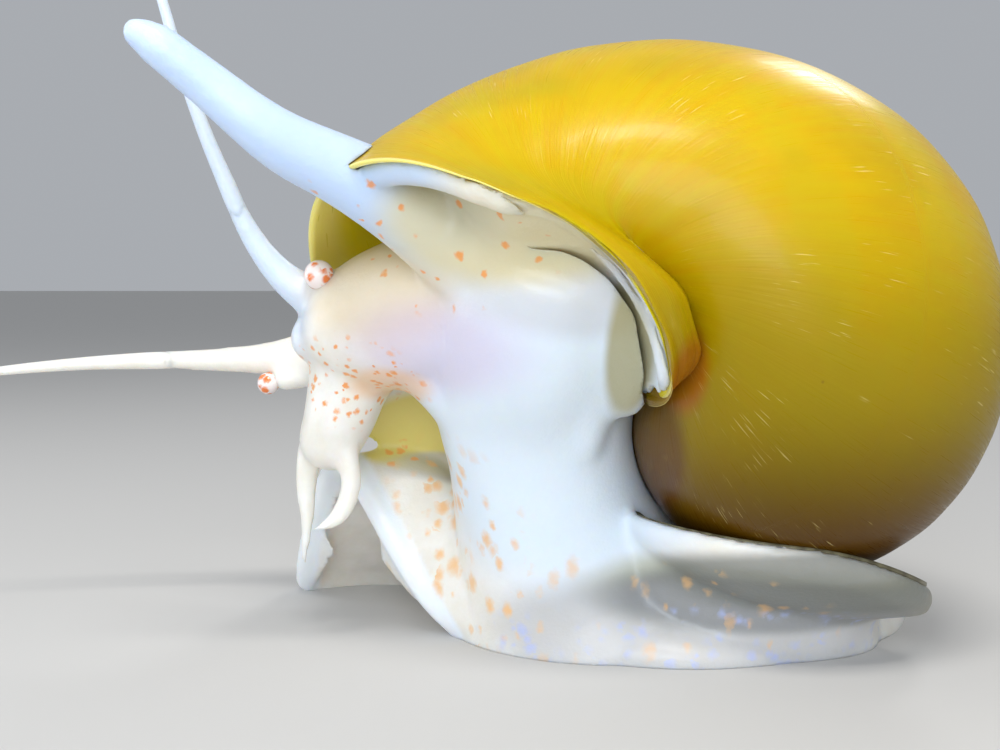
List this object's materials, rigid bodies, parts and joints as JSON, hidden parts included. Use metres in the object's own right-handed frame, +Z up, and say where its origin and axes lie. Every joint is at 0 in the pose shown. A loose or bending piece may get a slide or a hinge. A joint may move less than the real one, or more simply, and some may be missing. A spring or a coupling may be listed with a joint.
{
  "type": "apple snail",
  "caption": "Life-size crawling apple snail with a globular shell, operculum, raised foot front, long feelers, palps and an extended siphon.",
  "frame": {"origin": "on the sole, near the middle of its contact with the floor", "axes": "head toward -X, tail toward +X, the snail's left side toward -Y, +Z up"},
  "size_m": [0.071, 0.0426, 0.0465],
  "materials": {
    "shell": "glossy yellow shell with growth lines",
    "operculum": "satin horn",
    "mantle": "moist flesh, cream",
    "skin": "moist flesh, cream with orange dots",
    "eye": "glossy",
    "foot": "moist flesh, cream with orange blotches"
  },
  "bodies": {
    "root": {"shell": "shell", "operculum": "operculum", "mantle": "mantle", "head": "skin", "snout": "skin", "palp_left": "skin", "palp_right": "skin", "tentacle_left_root": "skin", "tentacle_left_tip": "skin", "tentacle_right_root": "skin", "tentacle_right_tip": "skin", "siphon_root": "skin", "siphon_tip": "skin", "eye_left": "eye", "eye_right": "eye", "foot_front_left": "foot", "foot_front_right": "foot", "foot_middle": "foot", "foot_tail": "foot"}
  },
  "joints": []
}
